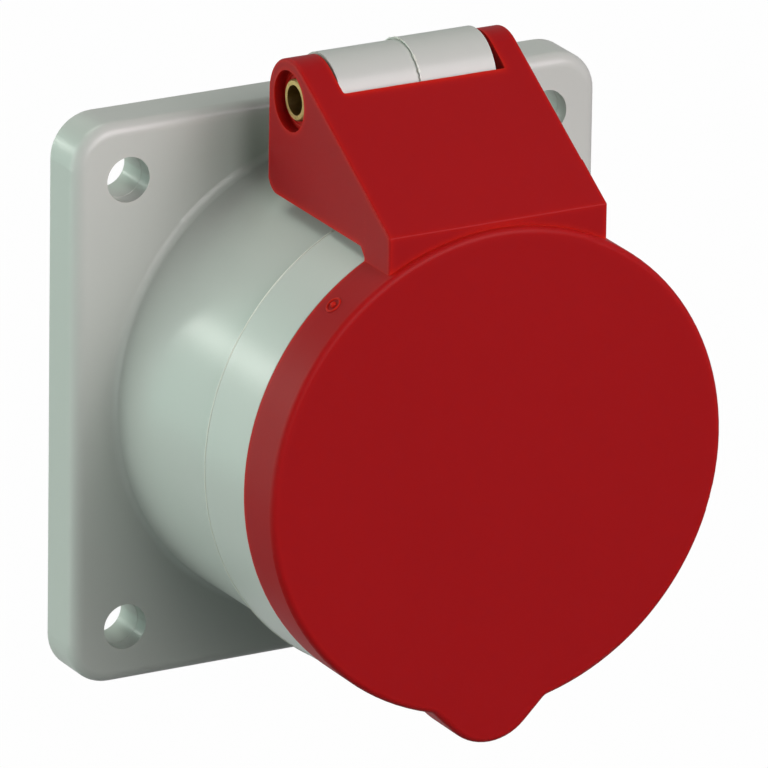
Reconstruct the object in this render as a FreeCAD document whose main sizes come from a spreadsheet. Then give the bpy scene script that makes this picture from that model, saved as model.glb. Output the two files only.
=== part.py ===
import FreeCAD, Part
import math
import os
import re
import Sketcher

# Industrial panel socket with a sprung hinged lid. The panel plane is y = 0, the lid faces -Y, Z is up and
# the barrel's axis is the Y axis. Positions along the axis are given as a distance in front of the panel.

DIMENSIONS = {
    # Housing: square flange
    "flange_plate": 4.8,
    "flange_corner_radius": 5.6,
    "flange_side_margin": 5.9,
    "flange_top_margin": 5.9,
    "hole_side_distance": 7.5,
    "hole_top_distance": 7.5,
    "flange_front_fillet": 1.7,
    "flange_rim_wall": 2.4,
    "seal_recess_depth": 2.1,
    "screw_boss_wall": 1.6,
    "screw_hole_radius": 3.0,
    # Housing: barrel, collar and rim
    "barrel_root_fillet": 1.0,
    "collar_position": 32.2,
    "collar_length": 9.7,
    "collar_step": 0.95,
    "rim_length": 3.0,
    "bore_radius": 28.5,
    "bore_floor_position": 12.0,
    "rear_bore_step": 0.5,
    "barrel_wall": 3.1,
    "barrel_draft": 0.35,
    "rim_wall": 1.5,
    "rim_draft": 0.5,
    "web_thickness": 6.0,
    "web_opening_clearance": 0.3,
    # Housing: keyway under the collar
    "keyway_half_width": 2.9,
    "keyway_reach": 2.9,
    "keyway_wall": 1.6,
    "keyway_rim_wall": 0.8,
    "keyway_depth": 20.0,
    "keyway_cover_position": 18.0,
    "keyway_cover_slope": 6.0,
    # Hinge
    "pin_position": 21.9,
    "pin_rise": 10.55,
    "pin_wall": 0.75,
    "pin_radius": 2.7,
    "pin_end_chamfer": 0.2,
    "pin_seat_clearance": 0.02,
    "pin_running_clearance": 0.08,
    "pin_end_recess": 0.8,
    "knuckle_radius": 5.65,
    "knuckle_mould_step": 0.23,
    "knuckle_width": 22.0,
    "knuckle_offset": 0.05,
    "knuckle_wall": 1.05,
    "knuckle_seam": 0.4,
    "arm_front_reach": 4.5,
    "arm_rear_reach": 5.6,
    "spring_chamber_width": 11.2,
    "spring_window_height": 9.5,
    "spring_window_overlap": 0.2,
    # Lid
    "lid_plate": 2.0,
    "lid_overhang": 0.15,
    "lid_depth": 7.75,
    "lid_skirt_wall": 1.45,
    "lid_rear_clearance": 0.3,
    "lid_front_fillet": 0.8,
    "tongue_nose_radius": 7.0,
    "tongue_reach": 4.1,
    "tongue_offset": -0.4,
    "tongue_blend": 1.5,
    "block_mould_step": 0.1,
    "block_slope": 0.6068,
    "block_set_back": 1.05,
    "block_pocket_depth": 2.1,
    "cheek_wall": 4.2,
    "cheek_eye_wall": 2.7,
    "cheek_recess_margin": 1.25,
    "notch_clearance_left": 0.2,
    "notch_clearance_right": 0.8,
    "notch_clearance_front": 0.9,
    "block_edge_fillet": 0.3,
    "block_wall": 2.1,
    "block_floor_rise": 0.2,
    "block_root_chamfer": 1.2,
    "block_barrel_clearance": 1.15,
    "block_corner_radius": 2.4,
    "notch_corner_radius": 0.3,
    "cheek_recess_depth": 1.5,
    # Seals
    "seal_clearance": 0.25,
    "lid_seal_thickness": 2.4,
    "lid_seal_lap": 1.3,
    "lid_seal_rib_wall": 0.8,
    "lid_seal_rib_height": 1.5,
    # Contact insert
    "core_edge_chamfer": 0.8,
    "core_set_back": 0.9,
    "plug_gap": 4.6,
    "shoulder_ring_thickness": 3.0,
    "shoulder_ring_clearance": 0.3,
    "contact_circle_radius": 15.5,
    "entry_depth": 3.0,
    "entry_clearance": 0.4,
    # Contacts
    "phase_pin_radius": 2.53,
    "earth_pin_radius": 3.53,
    "sleeve_wall": 0.75,
    "sleeve_set_back": 0.2,
    "sleeve_depth": 22.0,
    "sleeve_root_length": 2.0,
    "sleeve_slot_width": 0.8,
    "sleeve_slot_length": 14.0,
    "ring_wall": 0.4,
    "ring_width": 1.6,
    "ring_set_back": 2.8,
    "ring_gap": 1.2,
    "ring_fit": 0.02,
    "sleeve_chamber_clearance": 0.2,
    "sleeve_root_clearance": 0.1,
    "contact_stop_height": 0.7,
    "contact_stop_thickness": 2.0,
    "terminal_length": 17.0,
    "wire_bore_radius": 2.0,
    "wire_bore_depth": 10.0,
    "drill_point_length": 1.0,
    "terminal_wall": 1.9,
    # Terminal block
    "block_depth": 22.0,
    "block_rear_chamfer": 1.0,
    "terminal_block_step": 1.1,
    "terminal_clearance": 0.15,
    "wire_entry_clearance": 0.3,
    "wire_funnel": 0.8,
    "driver_clearance": 0.6,
    # Screws
    "terminal_screw_radius": 2.0,
    "terminal_screw_length": 4.0,
    "terminal_screw_position": 3.1,
    "terminal_screw_lift": 0.2,
    "fixing_screw_radius": 1.45,
    "fixing_screw_length": 8.0,
    "fixing_head_radius": 2.4,
    "fixing_head_height": 1.8,
    "fixing_head_clearance": 0.4,
    "joining_circle_radius": 6.0,
    "joining_screw_length": 28.0,
    "screw_slot_width": 0.7,
    "screw_slot_depth": 0.8,
    "thread_fit": 0.05,
    "screw_clearance": 0.25,
    "screw_end_clearance": 1.5,
    # Lid spring
    "spring_wire_radius": 0.45,
    "spring_coil_clearance": 0.65,
    "spring_pitch": 1.1,
    "spring_turns": 7.0,
    "spring_leg_margin": 1.3,
    "spring_seat_clearance": 0.1,
    "spring_heel_length": 2.0,
}

# Sizes that follow from the ones above
DERIVED = {
    "barrel_root_radius": "bore_radius + barrel_wall",
    "barrel_neck_radius": "barrel_root_radius - barrel_draft",
    "collar_rear_radius": "barrel_neck_radius + collar_step",
    "collar_front_radius": "collar_rear_radius - barrel_draft",
    "shoulder_position": "collar_position + collar_length",
    "rim_root_radius": "bore_radius + rim_wall",
    "rim_tip_radius": "rim_root_radius - rim_draft",
    "rear_bore_radius": "bore_radius + rear_bore_step",
    "keyway_tip_radius": "bore_radius + keyway_reach",
    "flange_width": "2 * (barrel_root_radius + flange_side_margin)",
    "flange_height": "2 * (barrel_root_radius + flange_top_margin)",
    "flange_depth": "flange_plate + seal_recess_depth",
    "screw_spacing_across": "flange_width - 2 * hole_side_distance",
    "screw_spacing_up": "flange_height - 2 * hole_top_distance",
    "screw_boss_radius": "screw_hole_radius + screw_boss_wall",
    "pin_height": "collar_rear_radius + pin_rise",
    "pin_bore_radius": "pin_radius - pin_wall",
    "knuckle_left": "knuckle_width / 2 - knuckle_offset",
    "spring_chamber_radius": "knuckle_radius - knuckle_wall",
    "lid_radius": "collar_front_radius + lid_overhang",
    "lid_front": "shoulder_position + lid_depth",
    "tongue_tip_radius": "lid_radius + tongue_reach",
    "notch_left": "knuckle_left + notch_clearance_left",
    "notch_right": "knuckle_width - knuckle_left + notch_clearance_right",
    "notch_position": "pin_position + knuckle_radius + notch_clearance_front",
    "block_half_width": "notch_left + cheek_wall",
    "block_front": "lid_front - block_set_back",
    "block_hollow_front": "shoulder_position + lid_rear_clearance + block_pocket_depth",
    "cheek_radius": "pin_radius + cheek_eye_wall",
    "cheek_recess_radius": "pin_radius + cheek_recess_margin",
    "lid_seal_inner_radius": "bore_radius - lid_seal_lap",
    "core_front": "shoulder_position - core_set_back",
    "core_radius": "bore_radius - plug_gap",
    "shoulder_ring_radius": "rear_bore_radius - shoulder_ring_clearance",
    "sleeve_front": "core_front - entry_depth - sleeve_set_back",
    "ring_position": "sleeve_front - ring_set_back",
    "terminal_radius": "wire_bore_radius + terminal_wall",
    "block_radius": "core_radius - terminal_block_step",
    "driver_hole_radius": "terminal_screw_radius + driver_clearance",
    "fixing_circle_radius": "rear_bore_radius - fixing_head_clearance - fixing_head_radius",
    "spring_coil_radius": "spring_chamber_radius - spring_wire_radius - spring_coil_clearance",
    "spring_leg_end": "block_hollow_front - spring_leg_margin",
}

EARTH_ANGLE = -90.0
CONTACT_STEP = 72.0
CONTACTS = ("earth", "l1", "l2", "l3", "neutral")
FIXING_SCREW_ANGLES = (90.0, 210.0, 330.0)
JOINING_SCREW_ANGLES = (0.0, 180.0)

PANEL_FACE = "0"
RIM_TIP = "shoulder_position + rim_length"
WEB_REAR = "bore_floor_position - web_thickness"
SEAT_REAR = "bore_floor_position - web_thickness - shoulder_ring_thickness"
LID_REAR = "shoulder_position + lid_rear_clearance"
LID_INNER_RADIUS = "lid_radius - lid_skirt_wall"
BLOCK_ROOT = "lid_radius / 2"
# How far a joined form starts inside the one before it, and how far a cut runs past the material
OVERLAP = "1"
MARGIN = "1"
# Tolerances for finding edges by their place
CLOSE = 0.02
SLACK = 0.1

doc = FreeCAD.newDocument("panel_socket")
sheet = doc.addObject("Spreadsheet::Sheet", "Dimensions")
formulas = {alias: f"={text}" for alias, text in DERIVED.items()}
for row, (alias, content) in enumerate({**DIMENSIONS, **formulas}.items(), start=1):
    sheet.set(f"A{row}", alias)
    sheet.set(f"B{row}", str(content))
    sheet.setAlias(f"B{row}", alias)
doc.recompute()


def bound(text):
    """Expression text in which each alias names its cell of the sheet."""
    return re.sub(r"[a-z_]+", lambda word: f"Dimensions.{word[0]}" if hasattr(sheet, word[0]) else word[0], text)


def measure(text):
    """Value of an expression text, in millimetres."""

    def filled(word):
        return f"({getattr(sheet, word[0])})" if hasattr(sheet, word[0]) else word[0]

    return float(FreeCAD.Units.Quantity(re.sub(r"[a-z_]+", filled, text)).Value)


def new_body(name):
    body = doc.addObject("PartDesign::Body", name)
    body.Label = name
    return body


def new_sketch(body, plane, name, offset):
    """Sketch on one of the body's own planes: XZ_Plane looks to the front, YZ_Plane to the right."""
    sketch = body.newObject("Sketcher::SketchObject", name)
    support = [feature for feature in body.Origin.OriginFeatures if feature.Role == plane][0]
    sketch.AttachmentSupport = [(support, "")]
    sketch.MapMode = "FlatFace"
    sketch.setExpression("AttachmentOffset.Base.z", bound(offset))
    return sketch


def pin_down(sketch, kind, name, geometry, point, text):
    """Distance of a point from the sketch's origin, tied to the sheet."""
    index = sketch.addConstraint(Sketcher.Constraint(kind, -1, 1, geometry, point, measure(text)))
    sketch.renameConstraint(index, name)
    sketch.setExpression(f"Constraints.{name}", bound(text))


def outline(body, plane, name, corners, offset=PANEL_FACE):
    """Closed outline through corners; a third entry on a corner is the radius of an arc that leads to it."""
    sketch = new_sketch(body, plane, name, offset)
    places = [FreeCAD.Vector(measure(corner[0]), measure(corner[1]), 0) for corner in corners]
    count = len(corners)
    for index in range(count):
        start = places[index]
        after = (index + 1) % count
        finish = places[after]
        if len(corners[after]) == 2:
            sketch.addGeometry(Part.LineSegment(start, finish), False)
            continue
        radius = measure(corners[after][2])
        chord = finish - start
        side = FreeCAD.Vector(-chord.y, chord.x, 0).normalize()
        sag = abs(radius) - math.sqrt(radius ** 2 - (chord.Length / 2) ** 2)
        crown = (start + finish) / 2 - side * math.copysign(sag, radius)
        arc = sketch.addGeometry(Part.Arc(start, crown, finish), False)
        turn = sketch.addConstraint(Sketcher.Constraint("Radius", arc, abs(radius)))
        sketch.renameConstraint(turn, f"radius_{index}")
        sketch.setExpression(f"Constraints.radius_{index}", bound(f"abs({corners[after][2]})"))
    ends = []
    for index in range(count):
        curve = sketch.Geometry[index]
        clockwise = curve.TypeId == "Part::GeomArcOfCircle" and not curve.StartPoint.isEqual(places[index], 1e-6)
        ends.append((2, 1) if clockwise else (1, 2))
    for index in range(count):
        after = (index + 1) % count
        sketch.addConstraint(Sketcher.Constraint("Coincident", index, ends[index][1], after, ends[after][0]))
    for index, corner in enumerate(corners):
        pin_down(sketch, "DistanceX", f"across_{index}", index, ends[index][0], corner[0])
        pin_down(sketch, "DistanceY", f"up_{index}", index, ends[index][0], corner[1])
    doc.recompute()
    return sketch


def circles(body, plane, name, rounds, offset=PANEL_FACE):
    """Sketch of circles, each given as the place of its centre and its radius."""
    sketch = new_sketch(body, plane, name, offset)
    for index, (across, up, radius) in enumerate(rounds):
        centre = FreeCAD.Vector(measure(across), measure(up), 0)
        sketch.addGeometry(Part.Circle(centre, FreeCAD.Vector(0, 0, 1), measure(radius)), False)
        size = sketch.addConstraint(Sketcher.Constraint("Radius", index, measure(radius)))
        sketch.renameConstraint(size, f"radius_{index}")
        sketch.setExpression(f"Constraints.radius_{index}", bound(radius))
        pin_down(sketch, "DistanceX", f"across_{index}", index, 3, across)
        pin_down(sketch, "DistanceY", f"up_{index}", index, 3, up)
    doc.recompute()
    return sketch


def extrude(body, kind, name, sketch, length, backwards=False, centred=False):
    """Pad or Pocket of a sketch; it has to change the body's volume."""
    before = body.Shape.Volume if body.Tip else 0.0
    feature = body.newObject(f"PartDesign::{kind}", name)
    feature.Profile = sketch
    feature.Type = "Length"
    feature.SideType = "Symmetric" if centred else "One side"
    feature.Reversed = backwards
    feature.setExpression("Length", bound(length))
    doc.recompute()
    if abs(feature.Shape.Volume - before) < 1e-6:
        raise ValueError(f"{name} leaves {body.Label} as it was")
    return feature


def turn(body, kind, name, sketch):
    """Revolution or Groove of a sketch about the barrel's axis."""
    feature = body.newObject(f"PartDesign::{kind}", name)
    feature.Profile = sketch
    feature.ReferenceAxis = (sketch, ["H_Axis"])
    feature.Angle = 360
    doc.recompute()
    return feature


def dress(body, kind, name, size, chosen):
    """Fillet or Chamfer on the edges of the body for which chosen(edge) holds."""
    base = body.Tip
    names = [f"Edge{index}" for index, edge in enumerate(base.Shape.Edges, start=1) if chosen(edge)]
    if not names:
        raise ValueError(f"{name} finds no edge on {body.Label}")
    feature = body.newObject(f"PartDesign::{kind}", name)
    feature.Base = (base, names)
    feature.setExpression("Radius" if kind == "Fillet" else "Size", bound(size))
    doc.recompute()
    return feature


def around(radius, angle):
    """Expressions for a place on a circle about the barrel's axis."""
    return f"({radius}) * {math.cos(math.radians(angle)):.9f}", f"({radius}) * {math.sin(math.radians(angle)):.9f}"


def near(first, second, tolerance=CLOSE):
    return abs(first - second) < tolerance


def box_of(edge):
    return edge.BoundBox


def lies_at_depth(edge, depth):
    box = box_of(edge)
    return near(box.YMin, -depth) and near(box.YMax, -depth)


def runs_along(edge, axis):
    """True for a straight edge that is parallel to an axis."""
    if len(edge.Vertexes) != 2:
        return False
    span = edge.Vertexes[1].Point - edge.Vertexes[0].Point
    return near(edge.Length, span.Length, 1e-4) and near(abs(span.dot(axis)), span.Length, 1e-4)


AXIS_X = FreeCAD.Vector(1, 0, 0)
AXIS_Y = FreeCAD.Vector(0, 1, 0)
AXIS_Z = FreeCAD.Vector(0, 0, 1)


def rectangle(half_width, half_height):
    return [(f"-({half_width})", f"-({half_height})"), (half_width, f"-({half_height})"),
            (half_width, half_height), (f"-({half_width})", half_height)]


def nose(tip, radius, root, middle):
    """Outline of a rounded nose that points down, with flanks at 45 degrees that start at the height root."""
    slant = math.sqrt(0.5)
    reach = f"({radius}) * {slant:.9f}"
    shoulder = f"({tip}) - ({radius}) + {reach}"
    wide = f"{reach} + {shoulder} - ({root})"
    return [(f"{middle} - ({wide})", f"-({root})"), (f"{middle} - {reach}", f"-({shoulder})"),
            (f"{middle} + {reach}", f"-({shoulder})", radius), (f"{middle} + {wide}", f"-({root})")]


def keyway_nose(wall):
    """Radius that leaves a wall around the square corners of the keyway."""
    return f"(keyway_half_width * {math.sqrt(2):.9f} + {wall})"


def keyway_cover(wall):
    radius = keyway_nose(wall)
    return nose(f"(keyway_tip_radius - keyway_half_width + {radius})", radius, "bore_radius", "tongue_offset")


def screw_places(radius):
    return [(f"{side} * screw_spacing_across / 2", f"{level} * screw_spacing_up / 2", radius)
            for side in (-1, 1) for level in (-1, 1)]


def housing():
    """Flange, barrel, collar, keyway cover and hinge knuckle: one moulding."""
    body = new_body("housing")
    square = outline(body, "XZ_Plane", "flange_outline", rectangle("flange_width / 2", "flange_height / 2"))
    extrude(body, "Pad", "flange", square, "flange_depth")
    dress(body, "Fillet", "flange_corners", "flange_corner_radius", lambda edge: runs_along(edge, AXIS_Y))
    depth = measure("flange_depth")
    dress(body, "Fillet", "flange_front_edge", "flange_front_fillet", lambda edge: lies_at_depth(edge, depth))

    barrel = outline(body, "YZ_Plane", "barrel_outline", [
        (f"{OVERLAP} - flange_depth", "0"), (f"{OVERLAP} - flange_depth", "barrel_root_radius"),
        ("-collar_position", "barrel_neck_radius"), ("-collar_position", "collar_rear_radius"),
        ("-shoulder_position", "collar_front_radius"), ("-shoulder_position", "rim_root_radius"),
        (f"-({RIM_TIP})", "rim_tip_radius"), (f"-({RIM_TIP})", "0")])
    turn(body, "Revolution", "barrel", barrel)
    cover = outline(body, "XZ_Plane", "keyway_cover_outline", keyway_cover("keyway_wall"),
                    "keyway_cover_position")
    extrude(body, "Pad", "keyway_cover", cover, "shoulder_position - keyway_cover_position")
    lip = outline(body, "XZ_Plane", "keyway_lip_outline", keyway_cover("keyway_rim_wall"), "shoulder_position")
    extrude(body, "Pad", "keyway_lip", lip, "rim_length")
    tip = f"-(keyway_tip_radius - keyway_half_width + {keyway_nose('keyway_wall')}) - {MARGIN}"
    slope_end = "-keyway_cover_position - keyway_cover_slope"
    tail = outline(body, "YZ_Plane", "keyway_cover_tail", [
        (f"{MARGIN} - keyway_cover_position", "-barrel_neck_radius"),
        ("-keyway_cover_position", "-barrel_neck_radius"), (slope_end, tip),
        (f"{MARGIN} - keyway_cover_position", tip)])
    extrude(body, "Pocket", "keyway_cover_slope_cut", tail, "flange_width / 2", centred=True)

    arm = outline(body, "YZ_Plane", "arm_outline", [
        ("arm_rear_reach - pin_position", f"bore_radius - {MARGIN}"),
        ("arm_rear_reach - pin_position", "pin_height"), ("-pin_position - arm_front_reach", "pin_height"),
        ("-pin_position - arm_front_reach", f"bore_radius - {MARGIN}")],
        "-knuckle_left")
    extrude(body, "Pad", "arm", arm, "knuckle_width")
    left = circles(body, "YZ_Plane", "knuckle_left_round",
                   [("-pin_position", "pin_height", "knuckle_radius")], "-knuckle_left")
    extrude(body, "Pad", "knuckle_left_half", left, "knuckle_left + knuckle_seam")
    right = circles(body, "YZ_Plane", "knuckle_right_round",
                    [("-pin_position", "pin_height", "knuckle_radius + knuckle_mould_step")], "knuckle_seam")
    extrude(body, "Pad", "knuckle_right_half", right, "knuckle_width - knuckle_left - knuckle_seam")

    inside = outline(body, "YZ_Plane", "bore_outline", [
        (f"-({RIM_TIP}) - {MARGIN}", "0"), (f"-({RIM_TIP}) - {MARGIN}", "bore_radius"),
        ("-bore_floor_position", "bore_radius"),
        ("-bore_floor_position", "core_radius + web_opening_clearance"),
        (f"-({WEB_REAR})", "core_radius + web_opening_clearance"), (f"-({WEB_REAR})", "rear_bore_radius"),
        (MARGIN, "rear_bore_radius"), (MARGIN, "0")])
    turn(body, "Groove", "bore", inside)
    slot = outline(body, "XZ_Plane", "keyway_outline", [
        ("tongue_offset - keyway_half_width", f"{MARGIN} - bore_radius"),
        ("tongue_offset + keyway_half_width", f"{MARGIN} - bore_radius"),
        ("tongue_offset + keyway_half_width", "-keyway_tip_radius"),
        ("tongue_offset - keyway_half_width", "-keyway_tip_radius")], RIM_TIP)
    extrude(body, "Pocket", "keyway", slot, "keyway_depth")

    recess = outline(body, "XZ_Plane", "seal_recess_outline",
                     rectangle("flange_width / 2 - flange_rim_wall", "flange_height / 2 - flange_rim_wall"))
    extrude(body, "Pocket", "seal_recess", recess, "seal_recess_depth", backwards=True)
    inner_width = measure("flange_width / 2 - flange_rim_wall")
    dress(body, "Fillet", "seal_recess_corners", "flange_corner_radius - flange_rim_wall",
          lambda edge: runs_along(edge, AXIS_Y) and near(abs(edge.Vertexes[0].X), inner_width))
    bosses = circles(body, "XZ_Plane", "screw_bosses_outline", screw_places("screw_boss_radius"))
    extrude(body, "Pad", "screw_bosses", bosses, "flange_depth - flange_front_fillet")
    holes = circles(body, "XZ_Plane", "panel_holes_outline", screw_places("screw_hole_radius"))
    extrude(body, "Pocket", "panel_holes", holes, "flange_depth", backwards=True)

    screw_seats = circles(body, "XZ_Plane", "insert_screw_seats", [
        (*around("fixing_circle_radius", angle), "fixing_screw_radius + thread_fit")
        for angle in FIXING_SCREW_ANGLES], WEB_REAR)
    extrude(body, "Pocket", "insert_screw_holes", screw_seats,
            "fixing_screw_length - shoulder_ring_thickness + thread_fit", backwards=True)

    pin_seat = circles(body, "YZ_Plane", "pin_seat_outline",
                       [("-pin_position", "pin_height", "pin_radius + pin_seat_clearance")])
    extrude(body, "Pocket", "pin_seat", pin_seat, "flange_width", centred=True)
    chamber = circles(body, "YZ_Plane", "spring_chamber_outline",
                      [("-pin_position", "pin_height", "spring_chamber_radius")])
    extrude(body, "Pocket", "spring_chamber", chamber, "spring_chamber_width", centred=True)
    window = outline(body, "YZ_Plane", "spring_window_outline", [
        ("-pin_position", "pin_height - spring_window_height"), ("-pin_position", "pin_height + spring_window_overlap"),
        ("-pin_position - 2 * knuckle_radius", "pin_height + spring_window_overlap"),
        ("-pin_position - 2 * knuckle_radius", "pin_height - spring_window_height")])
    extrude(body, "Pocket", "spring_window", window, "spring_chamber_width", centred=True)

    root = measure("barrel_root_radius")
    dress(body, "Fillet", "barrel_root_blend", "barrel_root_fillet",
          lambda edge: lies_at_depth(edge, depth) and near(box_of(edge).XLength / 2, root, measure("barrel_draft")))
    return body


def flange_seal():
    """Flat seal in the recess behind the flange, with its corners cut off clear of the screw bosses."""
    body = new_body("flange_seal")
    side = "(flange_width / 2 - flange_rim_wall - seal_clearance)"
    top = "(flange_height / 2 - flange_rim_wall - seal_clearance)"
    reach = (f"((screw_spacing_across + screw_spacing_up) / 2"
             f" - {math.sqrt(2):.9f} * (screw_boss_radius + seal_clearance))")
    plate = outline(body, "XZ_Plane", "seal_outline", [
        (side, f"{reach} - {side}"), (f"{reach} - {top}", top), (f"{top} - {reach}", top),
        (f"-{side}", f"{reach} - {side}"), (f"-{side}", f"{side} - {reach}"), (f"{top} - {reach}", f"-{top}"),
        (f"{reach} - {top}", f"-{top}"), (side, f"{side} - {reach}")])
    extrude(body, "Pad", "seal", plate, "seal_recess_depth")
    opening = circles(body, "XZ_Plane", "seal_opening_outline", [("0", "0", "rear_bore_radius + seal_clearance")])
    extrude(body, "Pocket", "seal_opening", opening, "flange_depth", backwards=True)
    return body


SLANT = "sqrt(1 + block_slope^2)"


def slope_height(position):
    """Height of the lid block's sloping face, a tangent of the cheeks' round tops, at a distance in front."""
    return f"pin_height + cheek_radius * {SLANT} + (pin_position - ({position})) * block_slope"


def lid():
    """Cap with a skirt, a nose over the keyway and a hollow hinge block: one moulding."""
    body = new_body("lid")
    depth = f"lid_front - ({LID_REAR})"
    disc = circles(body, "XZ_Plane", "cap_outline", [("0", "0", "lid_radius")], LID_REAR)
    extrude(body, "Pad", "cap", disc, depth)
    tongue = outline(body, "XZ_Plane", "tongue_outline",
                     nose("tongue_tip_radius", "tongue_nose_radius", f"bore_radius - {MARGIN}", "tongue_offset"), LID_REAR)
    extrude(body, "Pad", "tongue", tongue, depth)
    cap_radius = measure("lid_radius")
    dress(body, "Fillet", "tongue_blends", "tongue_blend",
          lambda edge: runs_along(edge, AXIS_Y) and near(math.hypot(edge.Vertexes[0].X, edge.Vertexes[0].Z),
                                                         cap_radius))
    front = measure("lid_front")
    dress(body, "Fillet", "cap_front_edge", "lid_front_fillet", lambda edge: lies_at_depth(edge, front))

    rear = "cheek_radius - pin_position"
    parting = LID_REAR
    touch = (f"-pin_position - cheek_radius * block_slope / {SLANT}", f"pin_height + cheek_radius / {SLANT}")
    edge_height = slope_height("block_front")
    side = outline(body, "YZ_Plane", "block_outline", [
        ("-block_front", BLOCK_ROOT), (rear, BLOCK_ROOT), (rear, "pin_height"),
        (*touch, "cheek_radius"), ("-block_front", edge_height)])
    extrude(body, "Pad", "hinge_block", side, "2 * block_half_width", centred=True)
    half = measure("block_half_width")
    ridge = measure(edge_height)
    dress(body, "Fillet", "cheek_edges", "block_edge_fillet",
          lambda edge: near(abs(box_of(edge).XMin), half) and near(box_of(edge).XLength, 0)
          and box_of(edge).ZMax > ridge + SLACK and not runs_along(edge, AXIS_Z))
    front_part = outline(body, "YZ_Plane", "block_front_outline", [
        ("-block_front", BLOCK_ROOT), (f"-({parting})", BLOCK_ROOT),
        (f"-({parting})", slope_height(parting)), ("-block_front", edge_height)])
    extrude(body, "Pad", "hinge_block_front", front_part, "2 * (block_half_width + block_mould_step)", centred=True)
    half_front = measure("block_half_width + block_mould_step")
    block_face = -measure("block_front")
    dress(body, "Fillet", "block_front_edges", "block_edge_fillet",
          lambda edge: near(box_of(edge).YMin, block_face)
          and ((near(abs(box_of(edge).XMin), half_front) and near(box_of(edge).XLength, 0)
                and box_of(edge).ZMax > ridge - SLACK)
               or (near(box_of(edge).ZMin, ridge) and near(box_of(edge).ZMax, ridge))))

    under = "(collar_rear_radius + block_barrel_clearance)"
    corner = f"({under} + block_corner_radius)"
    bottom = outline(body, "YZ_Plane", "block_underside_outline", [
        (f"-({LID_REAR})", "0"), (f"-({LID_REAR})", f"{under} - block_root_chamfer"),
        (f"-({LID_REAR}) + block_root_chamfer", under), (f"{rear} - block_corner_radius", under),
        (rear, corner, "block_corner_radius"), (MARGIN, corner), (MARGIN, "0")])
    turn(body, "Groove", "block_underside", bottom)
    thickness = f"block_wall * {SLANT}"
    floor = "lid_radius + block_floor_rise"
    above = "pin_height + 2 * cheek_radius"
    hollow = outline(body, "YZ_Plane", "block_hollow_outline", [
        ("-block_hollow_front", floor), (f"-({LID_REAR})", floor), (f"-({LID_REAR})", "bore_radius"),
        (MARGIN, "bore_radius"), (MARGIN, above), ("-notch_position", above),
        ("-notch_position", f"{slope_height('notch_position')} - {thickness}"),
        ("-block_hollow_front", f"{slope_height('block_hollow_front')} - {thickness}")], "-notch_left")
    extrude(body, "Pocket", "block_hollow", hollow, "notch_left + notch_right", backwards=True)
    notch = measure("notch_position")
    dress(body, "Fillet", "notch_corners", "notch_corner_radius",
          lambda edge: runs_along(edge, AXIS_Z) and near(edge.Vertexes[0].Y, -notch))

    inner = circles(body, "XZ_Plane", "cap_hollow_outline", [("0", "0", LID_INNER_RADIUS)], LID_REAR)
    extrude(body, "Pocket", "cap_hollow", inner, f"{depth} - lid_plate", backwards=True)
    tongue_inner = outline(body, "XZ_Plane", "tongue_hollow_outline",
                           nose("tongue_tip_radius - lid_skirt_wall", "tongue_nose_radius - lid_skirt_wall",
                                f"bore_radius - {MARGIN}", "tongue_offset"), LID_REAR)
    extrude(body, "Pocket", "tongue_hollow", tongue_inner, f"{depth} - lid_plate", backwards=True)

    rib = circles(body, "XZ_Plane", "seal_rib_outline", [
        ("0", "0", "lid_seal_inner_radius - seal_clearance"),
        ("0", "0", "lid_seal_inner_radius - seal_clearance - lid_seal_rib_wall")],
        "lid_front - lid_plate - lid_seal_rib_height")
    extrude(body, "Pad", "seal_rib", rib, "lid_seal_rib_height")

    bore = circles(body, "YZ_Plane", "pin_bore_outline",
                   [("-pin_position", "pin_height", "pin_radius + pin_running_clearance")])
    extrude(body, "Pocket", "pin_bore", bore, "flange_width", centred=True)
    for sign, flag in ((-1, False), (1, True)):
        start = f"{sign} * (block_half_width - cheek_recess_depth)"
        recess = circles(body, "YZ_Plane", f"cheek_recess_outline_{flag}",
                         [("-pin_position", "pin_height", "cheek_recess_radius")], start)
        extrude(body, "Pocket", f"cheek_recess_{flag}", recess, f"cheek_recess_depth + {MARGIN}", backwards=flag)

    return body


def lid_seal():
    """Flat ring with a lobe over the keyway, bedded in the lid."""
    body = new_body("lid_seal")
    start = "lid_front - lid_plate - lid_seal_thickness"
    ring = circles(body, "XZ_Plane", "seal_ring_outline", [("0", "0", f"{LID_INNER_RADIUS} - seal_clearance")], start)
    extrude(body, "Pad", "seal_ring", ring, "lid_seal_thickness")
    lobe = outline(body, "XZ_Plane", "seal_lobe_outline",
                   nose("tongue_tip_radius - lid_skirt_wall - seal_clearance",
                        "tongue_nose_radius - lid_skirt_wall - seal_clearance", f"bore_radius - {MARGIN}",
                        "tongue_offset"), start)
    extrude(body, "Pad", "seal_lobe", lobe, "lid_seal_thickness")
    opening = circles(body, "XZ_Plane", "seal_opening_outline", [("0", "0", "lid_seal_inner_radius")], "lid_front")
    extrude(body, "Pocket", "seal_opening", opening, "lid_front - shoulder_position")
    return body


def pin_radius_of(contact):
    return "earth_pin_radius" if contact == "earth" else "phase_pin_radius"


def contact_places():
    """Each contact with its angle: earth at the keyway, the rest in steps, clockwise seen from the front."""
    return [(contact, EARTH_ANGLE - index * CONTACT_STEP) for index, contact in enumerate(CONTACTS)]


def chamber_radius(contact):
    return f"({pin_radius_of(contact)} + sleeve_wall + ring_wall + sleeve_chamber_clearance)"


def stop_radius(contact):
    return f"({chamber_radius(contact)} + contact_stop_height)"


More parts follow.
